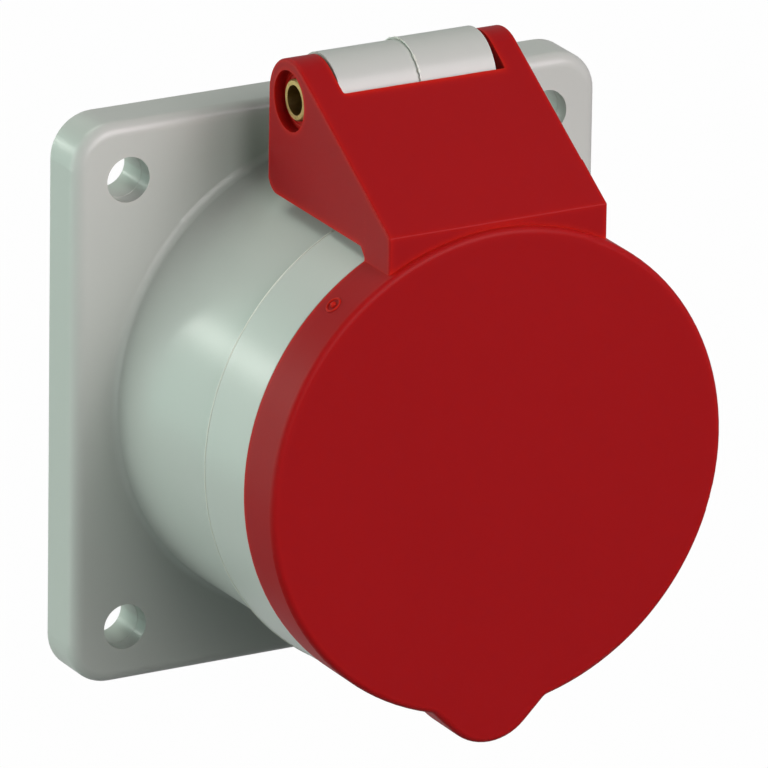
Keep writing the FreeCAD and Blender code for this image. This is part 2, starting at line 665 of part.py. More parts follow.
def contact_insert():
    """Core that the plug's shroud slides over, with a chamber for each contact."""
    body = new_body("contact_insert")
    shape = outline(body, "YZ_Plane", "core_outline", [
        ("-core_front", "0"), ("-core_front", "core_radius"), (f"-({WEB_REAR})", "core_radius"),
        (f"-({WEB_REAR})", "0")])
    turn(body, "Revolution", "core", shape)
    front = measure("core_front")
    dress(body, "Chamfer", "core_front_edge", "core_edge_chamfer", lambda edge: lies_at_depth(edge, front))
    entries = circles(body, "XZ_Plane", "entries_outline", [
        (*around("contact_circle_radius", angle), f"{pin_radius_of(contact)} + entry_clearance")
        for contact, angle in contact_places()], "core_front")
    extrude(body, "Pocket", "entries", entries, "core_front")
    chambers = circles(body, "XZ_Plane", "chambers_outline", [
        (*around("contact_circle_radius", angle), chamber_radius(contact))
        for contact, angle in contact_places()], "core_front - entry_depth")
    extrude(body, "Pocket", "chambers", chambers, "core_front")
    stops = circles(body, "XZ_Plane", "stops_outline", [
        (*around("contact_circle_radius", angle), f"{stop_radius(contact)} + terminal_clearance")
        for contact, angle in contact_places()], WEB_REAR)
    extrude(body, "Pocket", "stop_seats", stops, "contact_stop_thickness", backwards=True)
    joints = circles(body, "XZ_Plane", "joining_holes_outline", [
        (*around("joining_circle_radius", angle), "fixing_screw_radius + thread_fit")
        for angle in JOINING_SCREW_ANGLES], WEB_REAR)
    extrude(body, "Pocket", "joining_holes", joints, "joining_screw_length - block_depth + screw_end_clearance",
            backwards=True)
    return body


def terminal_block():
    """Rear block that holds the terminals, clamps the contacts' stops and seats on the web with its ring."""
    body = new_body("terminal_block")
    rear = f"block_depth - ({WEB_REAR})"
    shape = outline(body, "YZ_Plane", "block_outline", [
        (f"-({WEB_REAR})", "0"), (f"-({WEB_REAR})", "shoulder_ring_radius"),
        (f"-({SEAT_REAR})", "shoulder_ring_radius"), (f"-({SEAT_REAR})", "block_radius"),
        (rear, "block_radius"), (rear, "0")])
    turn(body, "Revolution", "block", shape)
    back = -measure(rear)
    dress(body, "Chamfer", "block_rear_edge", "block_rear_chamfer", lambda edge: lies_at_depth(edge, back))
    fixings = circles(body, "XZ_Plane", "fixing_holes_outline", [
        (*around("fixing_circle_radius", angle), "fixing_screw_radius + screw_clearance")
        for angle in FIXING_SCREW_ANGLES], WEB_REAR)
    extrude(body, "Pocket", "fixing_holes", fixings, "shoulder_ring_thickness")
    pockets = circles(body, "XZ_Plane", "terminal_pockets_outline", [
        (*around("contact_circle_radius", angle), "terminal_radius + terminal_clearance")
        for contact, angle in contact_places()], WEB_REAR)
    extrude(body, "Pocket", "terminal_pockets", pockets, "terminal_length + terminal_clearance")
    entries = circles(body, "XZ_Plane", "wire_entries_outline", [
        (*around("contact_circle_radius", angle), "wire_bore_radius + wire_entry_clearance")
        for contact, angle in contact_places()], f"-({rear})")
    extrude(body, "Pocket", "wire_entries", entries, "block_depth - terminal_length", backwards=True)
    entry = measure("wire_bore_radius + wire_entry_clearance")
    dress(body, "Chamfer", "wire_funnels", "wire_funnel",
          lambda edge: lies_at_depth(edge, back) and near(box_of(edge).XLength / 2, entry))
    joints = circles(body, "XZ_Plane", "joining_holes_outline", [
        (*around("joining_circle_radius", angle), "fixing_screw_radius + screw_clearance")
        for angle in JOINING_SCREW_ANGLES], WEB_REAR)
    extrude(body, "Pocket", "joining_holes", joints, "block_depth")
    driver = circles(body, "XY_Plane", "driver_hole_outline",
                     [("0", "terminal_screw_position", "driver_hole_radius")], f"-block_radius - {MARGIN}")
    hole = extrude(body, "Pocket", "driver_hole", driver, f"block_radius + {MARGIN} - contact_circle_radius", backwards=True)
    spread = body.newObject("PartDesign::PolarPattern", "driver_holes")
    spread.Originals = [hole]
    axis = [feature for feature in body.Origin.OriginFeatures if feature.Role == "Y_Axis"][0]
    spread.Axis = (axis, [""])
    spread.Angle = 360
    spread.Occurrences = len(CONTACTS)
    body.Tip = spread
    doc.recompute()
    return body


def place_on_circle(target, radius, angle):
    """Puts a body that is built on the barrel's axis on a contact's place."""
    across, up = around(radius, angle)
    target.setExpression("Placement.Base.x", bound(across))
    target.setExpression("Placement.Base.z", bound(up))
    target.Placement.Rotation = FreeCAD.Rotation(AXIS_Y, -(angle - EARTH_ANGLE))


def contact(kind, angle):
    """Slotted sleeve, stop and tapped terminal, turned from one bar."""
    body = new_body(f"contact_{kind}")
    bore = pin_radius_of(kind)
    sleeve = f"{bore} + sleeve_wall"
    root = f"{chamber_radius(kind)} - sleeve_root_clearance"
    stop = f"-({WEB_REAR}) - contact_stop_thickness"
    rear = f"terminal_length - ({WEB_REAR})"
    shape = outline(body, "YZ_Plane", "bar_outline", [
        ("-sleeve_front", bore), ("-sleeve_front", sleeve),
        ("sleeve_depth - sleeve_front - sleeve_root_length", sleeve),
        ("sleeve_depth - sleeve_front - sleeve_root_length", root),
        (stop, root), (stop, stop_radius(kind)),
        (f"-({WEB_REAR})", stop_radius(kind)), (f"-({WEB_REAR})", "terminal_radius"),
        (rear, "terminal_radius"), (rear, "wire_bore_radius"),
        (f"{rear} - wire_bore_depth", "wire_bore_radius"), (f"{rear} - wire_bore_depth - drill_point_length", "0"),
        ("sleeve_depth - sleeve_front + drill_point_length", "0"), ("sleeve_depth - sleeve_front", bore)])
    turn(body, "Revolution", "bar", shape)
    slit = outline(body, "XZ_Plane", "slots_outline",
                   rectangle(f"{sleeve} + {MARGIN}", "sleeve_slot_width / 2"), "sleeve_front")
    extrude(body, "Pocket", "slot_across", slit, "sleeve_slot_length")
    cross = outline(body, "XZ_Plane", "cross_slots_outline",
                    rectangle("sleeve_slot_width / 2", f"{sleeve} + {MARGIN}"), "sleeve_front")
    extrude(body, "Pocket", "slot_up", cross, "sleeve_slot_length")
    tapped = circles(body, "XY_Plane", "tapped_hole_outline",
                     [("0", "terminal_screw_position", "terminal_screw_radius + thread_fit")],
                     f"-terminal_radius - {MARGIN}")
    extrude(body, "Pocket", "tapped_hole", tapped, f"terminal_radius + {MARGIN}", backwards=True)
    place_on_circle(body, "contact_circle_radius", angle)
    return body


def sleeve_ring(kind, angle):
    """Open spring ring that closes the slotted sleeve on the plug's pin."""
    body = new_body(f"sleeve_ring_{kind}")
    inner = f"{pin_radius_of(kind)} + sleeve_wall + ring_fit"
    shape = outline(body, "YZ_Plane", "ring_outline", [
        ("-ring_position", inner), ("-ring_position", f"{inner} + ring_wall - ring_fit"),
        ("ring_width - ring_position", f"{inner} + ring_wall - ring_fit"), ("ring_width - ring_position", inner)])
    turn(body, "Revolution", "ring", shape)
    gap = outline(body, "XZ_Plane", "ring_gap_outline", [
        ("-ring_gap / 2", "0"), ("ring_gap / 2", "0"), ("ring_gap / 2", f"{inner} + ring_wall + {MARGIN}"),
        ("-ring_gap / 2", f"{inner} + ring_wall + {MARGIN}")], "ring_position")
    extrude(body, "Pocket", "ring_gap_cut", gap, "ring_width")
    place_on_circle(body, "contact_circle_radius", angle)
    return body


def primitive(kind, name, **sizes):
    """Part primitive whose sizes are tied to the sheet."""
    solid = doc.addObject(f"Part::{kind}", name)
    for quantity, text in sizes.items():
        solid.setExpression(quantity, bound(text))
    return solid


def turned_screw(name, shank_radius, length, head_radius, head_height):
    """Screw along its own Z axis, with its head's underside or its top at zero and a slot for the driver."""
    shank = primitive("Cylinder", f"{name}_shank", Radius=shank_radius, Height=length)
    shank.setExpression("Placement.Base.z", bound(f"-({length})"))
    slot = primitive("Box", f"{name}_slot", Length=f"2 * ({head_radius} + {MARGIN})", Width="screw_slot_width",
                     Height=f"screw_slot_depth + {MARGIN}")
    slot.setExpression("Placement.Base.x", bound(f"-({head_radius}) - {MARGIN}"))
    slot.setExpression("Placement.Base.y", bound("-screw_slot_width / 2"))
    slot.setExpression("Placement.Base.z", bound(f"{head_height} - screw_slot_depth"))
    blank = shank
    if measure(head_height) > 0:
        head = primitive("Cylinder", f"{name}_head", Radius=head_radius, Height=head_height)
        blank = doc.addObject("Part::Fuse", f"{name}_blank")
        blank.Base = shank
        blank.Tool = head
    screw = doc.addObject("Part::Cut", name)
    screw.Base = blank
    screw.Tool = slot
    return screw


def group(name, members):
    """One node that holds several equal, separate solids."""
    node = doc.addObject("Part::Compound", name)
    node.Label = name
    node.Links = members
    doc.recompute()
    return node


def axial_screws(name, circle, angles, length, head_seat):
    """Screws driven in from behind, with their heads' undersides on head_seat."""
    screws = []
    for index, angle in enumerate(angles):
        screw = turned_screw(f"{name}_{index}", "fixing_screw_radius", length, "fixing_head_radius",
                             "fixing_head_height")
        across, up = around(circle, angle)
        screw.Placement.Rotation = FreeCAD.Rotation(AXIS_X, -90)
        screw.setExpression("Placement.Base.x", bound(across))
        screw.setExpression("Placement.Base.y", bound(f"-({head_seat})"))
        screw.setExpression("Placement.Base.z", bound(up))
        screws.append(screw)
    return group(name, screws)


def terminal_screws():
    """One clamping screw for each terminal, backed out clear of the wire's hole."""
    screws = []
    for kind, angle in contact_places():
        screw = turned_screw(f"terminal_screw_{kind}", "terminal_screw_radius", "terminal_screw_length",
                             "terminal_screw_radius", "0")
        reach = "(contact_circle_radius + wire_bore_radius + terminal_screw_lift + terminal_screw_length)"
        across, up = around(reach, angle)
        screw.Placement.Rotation = FreeCAD.Rotation(AXIS_Y, 90 - angle)
        screw.setExpression("Placement.Base.x", bound(across))
        screw.setExpression("Placement.Base.y", bound("terminal_screw_position"))
        screw.setExpression("Placement.Base.z", bound(up))
        screws.append(screw)
    return group("terminal_screws", screws)


def hinge_pin():
    """Hollow pin through both cheeks and the knuckle."""
    body = new_body("hinge_pin")
    ends = circles(body, "YZ_Plane", "pin_outline", [("-pin_position", "pin_height", "pin_radius")])
    extrude(body, "Pad", "pin", ends, "2 * (block_half_width - pin_end_recess)", centred=True)
    dress(body, "Chamfer", "pin_ends", "pin_end_chamfer", lambda edge: near(box_of(edge).XLength, 0))
    bore = circles(body, "YZ_Plane", "pin_bore_outline", [("-pin_position", "pin_height", "pin_bore_radius")])
    extrude(body, "Pocket", "pin_bore", bore, "flange_width", centred=True)
    return body


def lid_spring():
    """Torsion spring about the pin: one leg lies on the lid's skirt, the short heel in the knuckle."""
    wire = measure("spring_wire_radius")
    coil = measure("spring_coil_radius")
    pitch = measure("spring_pitch")
    turns = measure("spring_turns")
    height = pitch * turns
    axis_y = -measure("pin_position")
    axis_z = measure("pin_height")
    end_y = -measure("spring_leg_end")
    end_z = measure("lid_radius + block_floor_rise + spring_wire_radius + spring_seat_clearance")
    back = end_y - axis_y
    down = end_z - axis_z
    span = math.hypot(back, down)
    heading = math.atan2(down, back) - math.asin(coil / span)
    # The lower tangent from the coil to the leg's end leaves the coil a quarter turn behind its heading.
    start = heading + math.pi / 2
    leg_length = math.sqrt(span ** 2 - coil ** 2)

    helix = Part.makeHelix(pitch, height, coil)
    section = Part.Wire(Part.makeCircle(wire, FreeCAD.Vector(coil, 0, 0), AXIS_Y))
    body = Part.Wire(helix.Edges).makePipeShell([section], True, True)
    # The helix stands along Z with its start on +X; it is laid along X with its start at the leg's tangent.
    place = FreeCAD.Placement(FreeCAD.Vector(-height / 2, axis_y, axis_z), FreeCAD.Rotation(AXIS_Y, 90))
    body.Placement = place
    body.rotate(FreeCAD.Vector(0, axis_y, axis_z), AXIS_X, math.degrees(start) + 90)
    tangent_y = axis_y + coil * math.cos(start)
    tangent_z = axis_z + coil * math.sin(start)
    leg = Part.makeCylinder(wire, leg_length, FreeCAD.Vector(-height / 2, tangent_y, tangent_z),
                            FreeCAD.Vector(0, math.cos(heading), math.sin(heading)))
    finish = start + 2 * math.pi * turns
    heel_y = axis_y + coil * math.cos(finish)
    heel_z = axis_z + coil * math.sin(finish)
    heel = Part.makeCylinder(wire, measure("spring_heel_length"), FreeCAD.Vector(height / 2, heel_y, heel_z),
                             FreeCAD.Vector(0, -math.sin(finish), math.cos(finish)))
    feature = doc.addObject("Part::Feature", "lid_spring")
    feature.Label = "lid_spring"
    feature.Shape = body.fuse([leg, heel])
    return feature


nodes = [housing(), flange_seal(), lid(), lid_seal(), contact_insert(), terminal_block(), hinge_pin(), lid_spring()]
for kind, angle in contact_places():
    nodes.append(contact(kind, angle))
    nodes.append(sleeve_ring(kind, angle))
nodes.append(axial_screws("insert_screws", "fixing_circle_radius", FIXING_SCREW_ANGLES, "fixing_screw_length",
                          SEAT_REAR))
nodes.append(axial_screws("joining_screws", "joining_circle_radius", JOINING_SCREW_ANGLES, "joining_screw_length",
                          f"{WEB_REAR} - block_depth"))
nodes.append(terminal_screws())
doc.recompute()

for thing in doc.Objects:
    if any(word in thing.State for word in ("Invalid", "Error")):
        raise ValueError(f"{thing.Name} failed: {thing.State}")
for node in nodes:
    if node.Shape.isNull() or not node.Shape.isValid():
        raise ValueError(f"{node.Label} has no valid shape")

os.makedirs("parts", exist_ok=True)
for node in nodes:
    node.Shape.exportStep(os.path.join("parts", f"{node.Label}.step"))
    print(f"{node.Label}: {len(node.Shape.Solids)} solids, {node.Shape.Volume:.1f} mm3")
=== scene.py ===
"""Looks of an industrial panel socket: finishes, moulding details, lamps, floor and camera."""

import logging
import math
import random
from dataclasses import dataclass
from enum import Enum

import bmesh
import bpy
from mathutils import Matrix, Vector


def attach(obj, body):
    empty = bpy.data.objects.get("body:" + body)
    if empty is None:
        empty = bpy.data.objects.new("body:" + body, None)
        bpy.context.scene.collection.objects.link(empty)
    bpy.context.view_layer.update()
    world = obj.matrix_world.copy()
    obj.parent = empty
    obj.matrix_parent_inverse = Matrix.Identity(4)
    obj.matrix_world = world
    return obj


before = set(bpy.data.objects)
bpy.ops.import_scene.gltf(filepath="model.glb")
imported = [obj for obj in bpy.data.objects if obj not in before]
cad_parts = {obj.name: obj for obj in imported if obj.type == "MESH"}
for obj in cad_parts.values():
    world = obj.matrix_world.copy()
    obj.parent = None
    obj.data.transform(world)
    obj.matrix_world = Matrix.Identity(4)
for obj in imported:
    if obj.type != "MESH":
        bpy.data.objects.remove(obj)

logging.basicConfig(level=logging.INFO, format="%(message)s")
log = logging.getLogger("panel_socket")

MM = 0.001
FULL_TURN = math.tau
SAME_PLACE = 1e-7  # metres; corners that lie closer than this are joined
Colour = tuple[float, float, float]


class Body(Enum):
    """Rigid bodies of the socket that a piece can ride on."""

    SOCKET = "socket_body"
    LID = "lid_body"


class Slot(Enum):
    """Material slots of the record."""

    HOUSING = "housing_plastic"
    LID = "lid_plastic"
    INSERT = "insert_plastic"
    TERMINAL = "terminal_plastic"
    SEAL = "seal_rubber"
    PIN = "pin_brass"
    SPRING = "spring_steel"
    CONTACT = "contact_plating"
    SCREW = "screw_steel"


def linear(colour: Colour) -> tuple[float, float, float, float]:
    """Turns a display colour into the linear colour that a shader takes.

    Args:
        colour: Red, green and blue as displayed, from 0 to 255.

    Returns:
        Linear red, green, blue and an alpha of 1.
    """
    parts = [part / 255 for part in colour]
    curved = [part / 12.92 if part <= 0.04045 else ((part + 0.055) / 1.055) ** 2.4 for part in parts]
    return (*curved, 1.0)


class Graph:
    """Short ways to add and join the nodes of a material or a node group."""

    def __init__(self, tree: bpy.types.NodeTree) -> None:
        """Keeps the tree that the nodes go into."""
        self.tree = tree

    def node(self, kind: str, **settings: object) -> bpy.types.Node:
        """Adds a node.

        Args:
            kind: Blender's name of the node type.
            **settings: Properties of the node to set.

        Returns:
            The new node.
        """
        made = self.tree.nodes.new(kind)
        for name, value in settings.items():
            setattr(made, name, value)
        return made

    def join(self, source: bpy.types.NodeSocket, target: bpy.types.NodeSocket) -> None:
        """Links an output to an input."""
        self.tree.links.new(source, target)

    def noise(self, vector: bpy.types.NodeSocket, scale: float,
              detail: float = 3.0) -> bpy.types.NodeSocket:
        """Adds a noise texture.

        Args:
            vector: Coordinates that the noise reads.
            scale: Cells per metre.
            detail: Octaves of the noise.

        Returns:
            The noise's value, around one half.
        """
        made = self.node("ShaderNodeTexNoise")
        made.inputs["Scale"].default_value = scale
        made.inputs["Detail"].default_value = detail
        self.join(vector, made.inputs["Vector"])
        return made.outputs["Fac"]

    def feed(self, target: bpy.types.NodeSocket, value: object) -> None:
        """Sets an input to a number, or links it where the value is another node's output."""
        if isinstance(value, bpy.types.NodeSocket):
            self.join(value, target)
        else:
            target.default_value = value

    def maths(self, operation: str, *values: object, clamp: bool = False) -> bpy.types.NodeSocket:
        """Adds a maths node.

        Args:
            operation: Blender's name of the operation.
            *values: Numbers or other nodes' outputs, one for each input.
            clamp: Whether the result is held between 0 and 1.

        Returns:
            The result.
        """
        made = self.node("ShaderNodeMath", operation=operation, use_clamp=clamp)
        for socket, value in zip(made.inputs, values):
            self.feed(socket, value)
        return made.outputs[0]

    def blend(self, factor: object, first: object, second: object) -> bpy.types.NodeSocket:
        """Mixes two colours.

        Args:
            factor: Share of the second colour.
            first: Colour at a factor of 0.
            second: Colour at a factor of 1.

        Returns:
            The mixed colour.
        """
        made = self.node("ShaderNodeMix", data_type="RGBA", clamp_factor=True)
        self.feed(made.inputs["Factor"], factor)
        self.feed(made.inputs["A"], first)
        self.feed(made.inputs["B"], second)
        return made.outputs["Result"]

    def ramp(self, value: bpy.types.NodeSocket, low: float, high: float) -> bpy.types.NodeSocket:
        """Spreads the span from low to high over 0 to 1, smoothly, and holds the rest."""
        made = self.node("ShaderNodeMapRange", interpolation_type="SMOOTHSTEP")
        self.join(value, made.inputs["Value"])
        made.inputs["From Min"].default_value = low
        made.inputs["From Max"].default_value = high
        return made.outputs["Result"]

    def red_part(self, colour: bpy.types.NodeSocket) -> bpy.types.NodeSocket:
        """Gives the red part of a colour as a number."""
        split = self.node("ShaderNodeSeparateColor")
        self.join(colour, split.inputs["Color"])
        return split.outputs["Red"]

    def stretched(self, vector: bpy.types.NodeSocket,
                  scale: tuple[float, float, float]) -> bpy.types.NodeSocket:
        """Scales coordinates along each axis."""
        made = self.node("ShaderNodeMapping")
        self.join(vector, made.inputs["Vector"])
        made.inputs["Scale"].default_value = scale
        return made.outputs["Vector"]


class EffectGraph(Graph):
    """Graph of a node group, with the nodes that stand for its inputs and outputs."""

    def __init__(self, tree: bpy.types.NodeTree) -> None:
        """Adds the input and output nodes."""
        super().__init__(tree)
        self.start = self.node("NodeGroupInput")
        self.end = self.node("NodeGroupOutput")


@dataclass
class SharedEffects:
    """Node groups that several finishes use, each built once. A scale is in cells per metre."""

    cloud_scale: float = 45.0
    grain_scale: float = 2600.0
    flow_scale: float = 420.0
    streak_scale: float = 700.0
    streak_stretch: tuple[float, float, float] = (1.0, 0.12, 0.12)
    streak_share: float = 0.3
    drift_middle: float = 0.65
    speck_scale: float = 150.0
    speck_rarity: float = 0.93
    speck_size: float = 0.045
    satin_share: float = 0.03
    edge_width: float = 1.6 * MM
    edge_samples: int = 6
    mark_scale: float = 5200.0
    dull_scale: float = 600.0
    dull_span: tuple[float, float] = (0.4, 0.68)
    dull_roughness: float = 0.25

    def __post_init__(self) -> None:
        """Builds the groups."""
        self.skin = self._moulded_skin()
        self.edges = self._edge_zone()
        self.turning = self._turning_marks()

    @staticmethod
    def _group(name: str, inputs: dict[str, tuple[str, object]], outputs: dict[str, str]) -> EffectGraph:
        """Starts a node group with named inputs and outputs.

        Args:
            name: Name of the group.
            inputs: Socket type and default value for each input.
            outputs: Socket type for each output.

        Returns:
            A graph on the new group's tree, with its input and output nodes in place.
        """
        tree = bpy.data.node_groups.new(name, "ShaderNodeTree")
        for label, (kind, value) in inputs.items():
            socket = tree.interface.new_socket(name=label, in_out="INPUT", socket_type=kind)
            socket.default_value = value
        for label, kind in outputs.items():
            tree.interface.new_socket(name=label, in_out="OUTPUT", socket_type=kind)
        return EffectGraph(tree)

    def _moulded_skin(self) -> bpy.types.NodeTree:
        """Skin of a moulded plastic: slight drift of the colour, satin patches and a fine grain."""
        graph = self._group("moulded_skin", {
            "Colour": ("NodeSocketColor", (0.5, 0.5, 0.5, 1)), "Drift": ("NodeSocketFloat", 0.04),
            "Roughness": ("NodeSocketFloat", 0.4), "Speck Colour": ("NodeSocketColor", (1, 1, 1, 1)),
            "Specks": ("NodeSocketFloat", 0.0)},
            {"Colour": "NodeSocketColor", "Roughness": "NodeSocketFloat", "Grain": "NodeSocketFloat"})
        place = graph.node("ShaderNodeTexCoord").outputs["Object"]
        cloudy = graph.noise(place, self.cloud_scale, detail=4.0)
        fine = graph.noise(place, self.grain_scale, detail=2.0)
        flow = graph.noise(place, self.flow_scale)
        streaks = graph.noise(graph.stretched(place, self.streak_stretch), self.streak_scale)
        uneven = graph.maths("ADD", cloudy, graph.maths("MULTIPLY", streaks, self.streak_share))
        centred = graph.maths("SUBTRACT", uneven, self.drift_middle)
        swing = graph.maths("MULTIPLY", centred, graph.start.outputs["Drift"])
        level = graph.maths("ADD", 1.0, swing)
        tone = graph.node("ShaderNodeHueSaturation")
        graph.join(graph.start.outputs["Colour"], tone.inputs["Color"])
        graph.join(level, tone.inputs["Value"])
        dots = graph.node("ShaderNodeTexVoronoi", feature="F1")
        dots.inputs["Scale"].default_value = self.speck_scale
        graph.join(place, dots.inputs["Vector"])
        rare = graph.maths("GREATER_THAN", graph.red_part(dots.outputs["Color"]), self.speck_rarity)
        near = graph.maths("LESS_THAN", dots.outputs["Distance"], self.speck_size)
        mask = graph.maths("MULTIPLY", graph.maths("MULTIPLY", rare, near), graph.start.outputs["Specks"])
        dusted = graph.blend(mask, tone.outputs["Color"], graph.start.outputs["Speck Colour"])
        graph.join(dusted, graph.end.inputs["Colour"])
        patchy = graph.maths("MULTIPLY", graph.maths("SUBTRACT", flow, 0.5), self.satin_share)
        graph.join(graph.maths("ADD", graph.start.outputs["Roughness"], patchy, clamp=True),
                   graph.end.inputs["Roughness"])
        graph.join(fine, graph.end.inputs["Grain"])
        return graph.tree

    def _edge_zone(self) -> bpy.types.NodeTree:
        """Mask that is 1 along the edges of a piece and falls to 0 at the given width; the plastics use
        it to place their painted edge glow.
        """
        graph = self._group("edge_zone", {"Gain": ("NodeSocketFloat", 4.0)}, {"Mask": "NodeSocketFloat"})
        rounded = graph.node("ShaderNodeBevel", samples=self.edge_samples)
        rounded.inputs["Radius"].default_value = self.edge_width
        flat = graph.node("ShaderNodeNewGeometry")
        match = graph.node("ShaderNodeVectorMath", operation="DOT_PRODUCT")
        graph.join(rounded.outputs["Normal"], match.inputs[0])
        graph.join(flat.outputs["Normal"], match.inputs[1])
        away = graph.maths("SUBTRACT", 1.0, match.outputs["Value"])
        mask = graph.maths("MULTIPLY", away, graph.start.outputs["Gain"], clamp=True)
        graph.join(mask, graph.end.inputs["Mask"])
        return graph.tree

    def _turning_marks(self) -> bpy.types.NodeTree:
        """Fine marks of a lathe or a drawing die, and patches of dull metal."""
        graph = self._group("turning_marks", {
            "Colour": ("NodeSocketColor", (0.6, 0.6, 0.6, 1)),
            "Dull Colour": ("NodeSocketColor", (0.4, 0.4, 0.4, 1)),
            "Dullness": ("NodeSocketFloat", 0.3), "Roughness": ("NodeSocketFloat", 0.3)},
            {"Colour": "NodeSocketColor", "Roughness": "NodeSocketFloat", "Marks": "NodeSocketFloat"})
        place = graph.node("ShaderNodeTexCoord").outputs["Object"]
        marks = graph.noise(place, self.mark_scale, detail=2.0)
        patches = graph.ramp(graph.noise(place, self.dull_scale, detail=4.0), *self.dull_span)
        amount = graph.maths("MULTIPLY", patches, graph.start.outputs["Dullness"], clamp=True)
        graph.join(graph.blend(amount, graph.start.outputs["Colour"], graph.start.outputs["Dull Colour"]),
                   graph.end.inputs["Colour"])
        rougher = graph.maths("MULTIPLY", amount, self.dull_roughness)
        graph.join(graph.maths("ADD", graph.start.outputs["Roughness"], rougher, clamp=True),
                   graph.end.inputs["Roughness"])
        graph.join(marks, graph.end.inputs["Marks"])
        return graph.tree


class Finish:
    """A finish that can be put on CAD nodes and on new pieces."""

    def build(self, effects: SharedEffects) -> bpy.types.Material:
        """Builds the material. Each kind of finish has its own way."""
        raise NotImplementedError

    @staticmethod
    def start(name: str) -> tuple[bpy.types.Material, Graph, bpy.types.Node]:
        """Starts a material with an empty principled shader.

        Args:
            name: Name of the material.

        Returns:
            The material, a graph on its tree, and the shader node.
        """
        material = bpy.data.materials.new(name)
        material.use_nodes = True
        material.node_tree.nodes.clear()
        graph = Graph(material.node_tree)
        shader = graph.node("ShaderNodeBsdfPrincipled")
        output = graph.node("ShaderNodeOutputMaterial")
        graph.join(shader.outputs["BSDF"], output.inputs["Surface"])
        return material, graph, shader

    @staticmethod
    def relief(graph: Graph, height: bpy.types.NodeSocket, distance: float) -> bpy.types.NodeSocket:
        """Turns a height into a normal.

        Args:
            graph: Graph of the material.
            height: Height from 0 to 1.
            distance: Depth of the relief in metres.

        Returns:
            The normal.
        """
        bump = graph.node("ShaderNodeBump")
        bump.inputs["Distance"].default_value = distance
        graph.join(height, bump.inputs["Height"])
        return bump.outputs["Normal"]


@dataclass(frozen=True)
class MouldedPlastic(Finish):
    """Satin moulded plastic whose edges carry a painted glow, a lighter colour standing in for light let
    through at thin edges.
    """

    name: str
    colour: Colour
    edge_glow_colour: Colour
    edge_glow_gain: float
    roughness: float
    drift: float
    specks: float
    speck_colour: Colour
    grain_depth: float
    gloss_level: float
    depth_share: float
    depth: float
    depth_colours: Colour

    def build(self, effects: SharedEffects) -> bpy.types.Material:
        """Builds the plastic from the shared skin and edge effects."""
        material, graph, shader = self.start(self.name)
        edges = graph.node("ShaderNodeGroup", node_tree=effects.edges)
        edges.inputs["Gain"].default_value = self.edge_glow_gain
        skin = graph.node("ShaderNodeGroup", node_tree=effects.skin)
        # Painted edge glow: the lighter edge colour is blended in along the edges in place of light
        # there.
        tone = graph.blend(edges.outputs["Mask"], linear(self.colour), linear(self.edge_glow_colour))
        graph.join(tone, skin.inputs["Colour"])
        skin.inputs["Drift"].default_value = self.drift
        skin.inputs["Roughness"].default_value = self.roughness
        skin.inputs["Specks"].default_value = self.specks
        skin.inputs["Speck Colour"].default_value = linear(self.speck_colour)
        graph.join(skin.outputs["Colour"], shader.inputs["Base Color"])
        graph.join(skin.outputs["Roughness"], shader.inputs["Roughness"])
        graph.join(self.relief(graph, skin.outputs["Grain"], self.grain_depth), shader.inputs["Normal"])
        shader.inputs["Specular IOR Level"].default_value = self.gloss_level
        shader.inputs["Subsurface Weight"].default_value = self.depth_share
        shader.inputs["Subsurface Scale"].default_value = self.depth
        shader.inputs["Subsurface Radius"].default_value = self.depth_colours
        return material


@dataclass(frozen=True)
class WorkedMetal(Finish):
    """Turned, drawn or plated metal."""

    name: str
    colour: Colour
    dull_colour: Colour
    dullness: float
    roughness: float
    mark_depth: float

    def build(self, effects: SharedEffects) -> bpy.types.Material:
        """Builds the metal from the shared turning marks."""
        material, graph, shader = self.start(self.name)
        marks = graph.node("ShaderNodeGroup", node_tree=effects.turning)
        marks.inputs["Colour"].default_value = linear(self.colour)
        marks.inputs["Dull Colour"].default_value = linear(self.dull_colour)
        marks.inputs["Dullness"].default_value = self.dullness
        marks.inputs["Roughness"].default_value = self.roughness
        graph.join(marks.outputs["Colour"], shader.inputs["Base Color"])
        graph.join(marks.outputs["Roughness"], shader.inputs["Roughness"])
        graph.join(self.relief(graph, marks.outputs["Marks"], self.mark_depth), shader.inputs["Normal"])
        shader.inputs["Metallic"].default_value = 1.0
        return material


@dataclass(frozen=True)
class SoftRubber(Finish):
    """Matt rubber with a fine dusty bloom."""

    name: str
    colour: Colour
    bloom_colour: Colour
    roughness: float
    grain_depth: float
    bloom_scale: float = 300.0
    bloom_span: tuple[float, float] = (0.45, 0.75)
    drift: float = 0.1

    def build(self, effects: SharedEffects) -> bpy.types.Material:
        """Builds the rubber from the shared skin."""
        material, graph, shader = self.start(self.name)
        skin = graph.node("ShaderNodeGroup", node_tree=effects.skin)
        place = graph.node("ShaderNodeTexCoord").outputs["Object"]
        bloom = graph.ramp(graph.noise(place, self.bloom_scale, detail=4.0), *self.bloom_span)
        dusty = graph.blend(bloom, linear(self.colour), linear(self.bloom_colour))
        graph.join(dusty, skin.inputs["Colour"])
        skin.inputs["Drift"].default_value = self.drift
        skin.inputs["Roughness"].default_value = self.roughness
        graph.join(skin.outputs["Colour"], shader.inputs["Base Color"])
        graph.join(skin.outputs["Roughness"], shader.inputs["Roughness"])
        graph.join(self.relief(graph, skin.outputs["Grain"], self.grain_depth), shader.inputs["Normal"])
        return material
